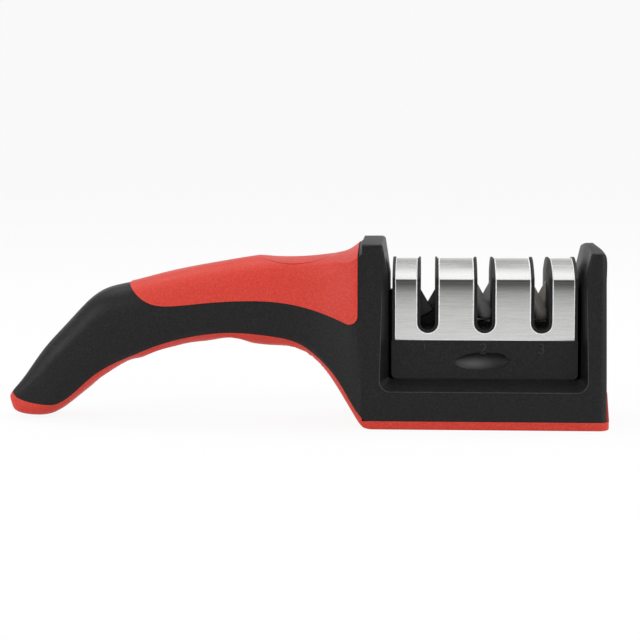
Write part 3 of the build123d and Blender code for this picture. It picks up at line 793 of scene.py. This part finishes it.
# Steel cover: stainless sheet, brushed along the head, bent over the posts and cut out at the slots.
# Its colour is multiplied by a tone by height, painted reflection and shade: darkest just under the bend, paler
# down the faces and over the roof.
sheet_floor = 30.1 * millimetre
sheet_half_depth = 18.5 * millimetre
sheet_eave = 50.4 * millimetre
sheet_half_eave = 17.5 * millimetre
sheet_ridge = 56.7 * millimetre
sheet_bend = 1.2 * millimetre
sheet_lean = (sheet_half_depth - sheet_half_eave) / (sheet_eave - sheet_floor)
floor_reflection_tone = 1.0
ridge_reflection_tone = 0.95
painted_reflection_tones = (
    (0.35, 0.86), (0.53, 0.66), (0.615, 0.48), (0.66, 0.31), (0.72, 0.14), (0.765, 0.18), (0.785, 0.56),
    (0.83, 0.52), (0.875, 0.47), (0.895, 0.49), (0.917, 0.62), (0.936, 0.95), (0.96, 1.0),
)

cover_steel = brushed_metal(
    "cover_steel",
    dark=(0.57, 0.57, 0.56, 1.0),
    light=(0.69, 0.69, 0.68, 1.0),
    roughness=0.27,
    stretch=(0.02, 1.0, 1.0),
    scale=4600.0,
    depth=0.01 * millimetre,
    anisotropy=0.35,
)
tree = cover_steel.node_tree
shader = tree.nodes["Principled BSDF"]
height = tree.nodes.new("ShaderNodeSeparateXYZ")
link(tree, tree.nodes.new("ShaderNodeTexCoord").outputs["Object"], height.inputs["Vector"])
share = tree.nodes.new("ShaderNodeMapRange")
share.inputs["From Min"].default_value = sheet_floor
share.inputs["From Max"].default_value = sheet_ridge
link(tree, height.outputs["Z"], share.inputs["Value"])
# Painted reflection and shade: a ramp of tones by height multiplies the steel's colour.
painted_reflection_ramp = tree.nodes.new("ShaderNodeValToRGB")
painted_reflection_ramp.color_ramp.elements[0].color = (floor_reflection_tone, floor_reflection_tone, floor_reflection_tone, 1.0)
painted_reflection_ramp.color_ramp.elements[1].color = (ridge_reflection_tone, ridge_reflection_tone, ridge_reflection_tone, 1.0)
for place, tone in painted_reflection_tones:
    painted_reflection_ramp.color_ramp.elements.new(place).color = (tone, tone, tone, 1.0)
link(tree, share.outputs["Result"], painted_reflection_ramp.inputs["Fac"])
reflection_tinted = tree.nodes.new("ShaderNodeMix")
reflection_tinted.data_type = "RGBA"
reflection_tinted.blend_type = "MULTIPLY"
reflection_tinted.inputs["Factor"].default_value = 1.0
link(tree, shader.inputs["Base Color"].links[0].from_socket, reflection_tinted.inputs["A"])
link(tree, painted_reflection_ramp.outputs["Color"], reflection_tinted.inputs["B"])
link(tree, reflection_tinted.outputs["Result"], shader.inputs["Base Color"])
finish(nodes["steel_cover"], cover_steel)


# Cut edges of the steel cover: a near-white bead on each cut edge, a painted highlight where the edges shine. It
# runs round the slots, along the ends and along the lower edges.
slot_middles = np.array([43.35, 62.70, 82.05]) * millimetre
slot_half = 3.8 * millimetre
slot_bottom = 32.3 * millimetre
sheet_ends = np.array([32.2, 93.2]) * millimetre
face_steps = 14
bend_steps = 8
slot_floor_steps = 18
edge_bead = 0.22 * millimetre
edge_bead_sides = 8


def sheet_profile(start):
    """Half of the sheet's end view from a start height up: the leaning face, the bend and the roof's arc.

    The arc is (-R sin t, middle + R cos t), and the bend is (1-s)^2 A + 2 s (1-s) C + s^2 B.
    """
    rise = sheet_ridge - sheet_eave
    radius = (sheet_half_eave**2 + rise**2) / (2 * rise)
    middle = sheet_ridge - radius
    turn = np.linspace(math.asin(sheet_half_eave / radius) - sheet_bend / radius, 0.0, face_steps)
    roof = np.stack([-radius * np.sin(turn), middle + radius * np.cos(turn)], axis=1)
    z = np.linspace(start, sheet_eave - sheet_bend, face_steps)
    face = np.stack([-(sheet_half_depth - sheet_lean * (z - sheet_floor)), z], axis=1)
    s = np.linspace(0.0, 1.0, bend_steps)[1:-1, None]
    corner = np.array([-sheet_half_eave, sheet_eave])
    bend = (1 - s) ** 2 * face[-1] + 2 * s * (1 - s) * corner + s**2 * roof[0]
    return np.concatenate([face, bend, roof])


def over_the_roof(x, start):
    """The whole end view of the sheet at x, front to rear, and the outward normals along it."""
    half = sheet_profile(start)
    both = np.concatenate([half, (half * [-1.0, 1.0])[-2::-1]])
    along = np.gradient(both, axis=0)
    points = np.stack([np.full(len(both), x), both[:, 0], both[:, 1]], axis=1)
    out = np.stack([np.zeros(len(both)), -along[:, 1], along[:, 0]], axis=1)
    return points, out / np.linalg.norm(out, axis=1, keepdims=True)


def slot_loop(middle):
    """Closed line round a slot: over the roof on its left, its rear floor, back on its right, its front floor.

    Each floor is the half circle (middle + r sin t, start - r cos t) on the leaning face.
    """
    start = slot_bottom + slot_half
    left, left_out = over_the_roof(middle - slot_half, start)
    right, right_out = over_the_roof(middle + slot_half, start)
    turn = np.linspace(-math.pi / 2, math.pi / 2, slot_floor_steps)[1:-1]
    x = middle + slot_half * np.sin(turn)
    z = start - slot_half * np.cos(turn)
    y = sheet_half_depth - sheet_lean * (z - sheet_floor)
    rear = np.stack([x, y, z], axis=1)
    front = np.stack([x, -y, z], axis=1)[::-1]
    rear_out = outwards(1, len(rear))
    points = np.concatenate([left, rear, right[::-1], front])
    out = np.concatenate([left_out, rear_out, right_out[::-1], -rear_out])
    return points, out


def lower_edge(side):
    """Straight line along the sheet's lower edge on one side."""
    points = np.array([[end, side * sheet_half_depth, sheet_floor] for end in sheet_ends])
    return points, outwards(side, len(points))


# Painted highlight: a near-white finish, not metallic, that stands in for the shine of the cut edges.
painted_highlight_steel = brushed_metal(
    "painted_highlight_steel",
    dark=(0.86, 0.86, 0.85, 1.0),
    light=(0.95, 0.95, 0.94, 1.0),
    roughness=0.34,
    stretch=(1.0, 1.0, 1.0),
    scale=1500.0,
    depth=0.01 * millimetre,
    anisotropy=0.0,
)
painted_highlight_steel.node_tree.nodes["Principled BSDF"].inputs["Metallic"].default_value = 0.0
open_lines = [over_the_roof(end, sheet_floor) for end in sheet_ends] + [lower_edge(-1), lower_edge(1)]
cut_edges = joined_object(
    "steel_cut_edges",
    [bead_along(*slot_loop(middle), edge_bead, edge_bead_sides, True) for middle in slot_middles]
    + [bead_along(*line, edge_bead, edge_bead_sides, False) for line in open_lines],
)
finish(cut_edges, painted_highlight_steel)
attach(cut_edges, "head")


# Inserts: black ABS, each a body with a lined slot that stands proud of the steel, and its stage in the middle.
# They sit side by side in the frame's channel, on the base plate.
insert_edge = 0.14 * millimetre
for name in ("carbide_insert", "diamond_insert", "ceramic_insert"):
    finish(nodes[name], black_abs)
    soften_edges(nodes[name], insert_edge)


# Stage 1: two crossed plates of sintered tungsten carbide, ground on their faces.
# Each is held to the insert by a plated screw.
blade_edge = 0.08 * millimetre
blade_screw_edge = 0.10 * millimetre
carbide = brushed_metal(
    "carbide",
    dark=(0.035, 0.035, 0.037, 1.0),
    light=(0.060, 0.060, 0.063, 1.0),
    roughness=0.36,
    stretch=(1.0, 0.04, 1.0),
    scale=1800.0,
    depth=0.02 * millimetre,
    anisotropy=0.0,
)
for name in ("carbide_blade_front", "carbide_blade_rear"):
    finish(nodes[name], carbide)
    soften_edges(nodes[name], blade_edge)
for name in ("carbide_screw_front", "carbide_screw_rear"):
    finish(nodes[name], screw_steel)
    soften_edges(nodes[name], blade_screw_edge)


# Stage 2: two crossed steel rods, plated with pale diamond grit that glitters a little.
# They are pushed into bores of the insert.
grit_scale = 5200.0
grit_depth = 0.06 * millimetre
grit_pale = (0.86, 0.86, 0.86, 1.0)
grit_dark = (0.62, 0.62, 0.62, 1.0)
grit_metal = 0.1
diamond_grit, tree, shader = node_material("diamond_grit")
place = tree.nodes.new("ShaderNodeTexCoord").outputs["Object"]
grit = tree.nodes.new("ShaderNodeTexVoronoi")
grit.inputs["Scale"].default_value = grit_scale
link(tree, place, grit.inputs["Vector"])
grains = grit.outputs["Distance"]
grit_tint = tint_between(tree, grains, grit_pale, grit_dark, start=0.1, end=0.7)
link(tree, grit_tint, shader.inputs["Base Color"])
gloss_between(tree, noise(tree, place, scale=3800.0, detail=2.0), 0.30, 0.60, shader)
relief(tree, grains, grit_depth, 0.8, shader)
shader.inputs["Metallic"].default_value = grit_metal
for name in ("diamond_rod_front", "diamond_rod_rear"):
    finish(nodes[name], diamond_grit)


# Stage 3: two crossed rods of fired grey-brown ceramic, ground smooth.
# They are pushed into bores of the insert.
ceramic = grained_plastic(
    "ceramic",
    dark=(0.74, 0.70, 0.64, 1.0),
    light=(0.84, 0.80, 0.74, 1.0),
    roughness=0.34,
    grain_scale=3400.0,
    grain_depth=0.02 * millimetre,
    specular=0.5,
)
for name in ("ceramic_rod_front", "ceramic_rod_rear"):
    finish(nodes[name], ceramic)
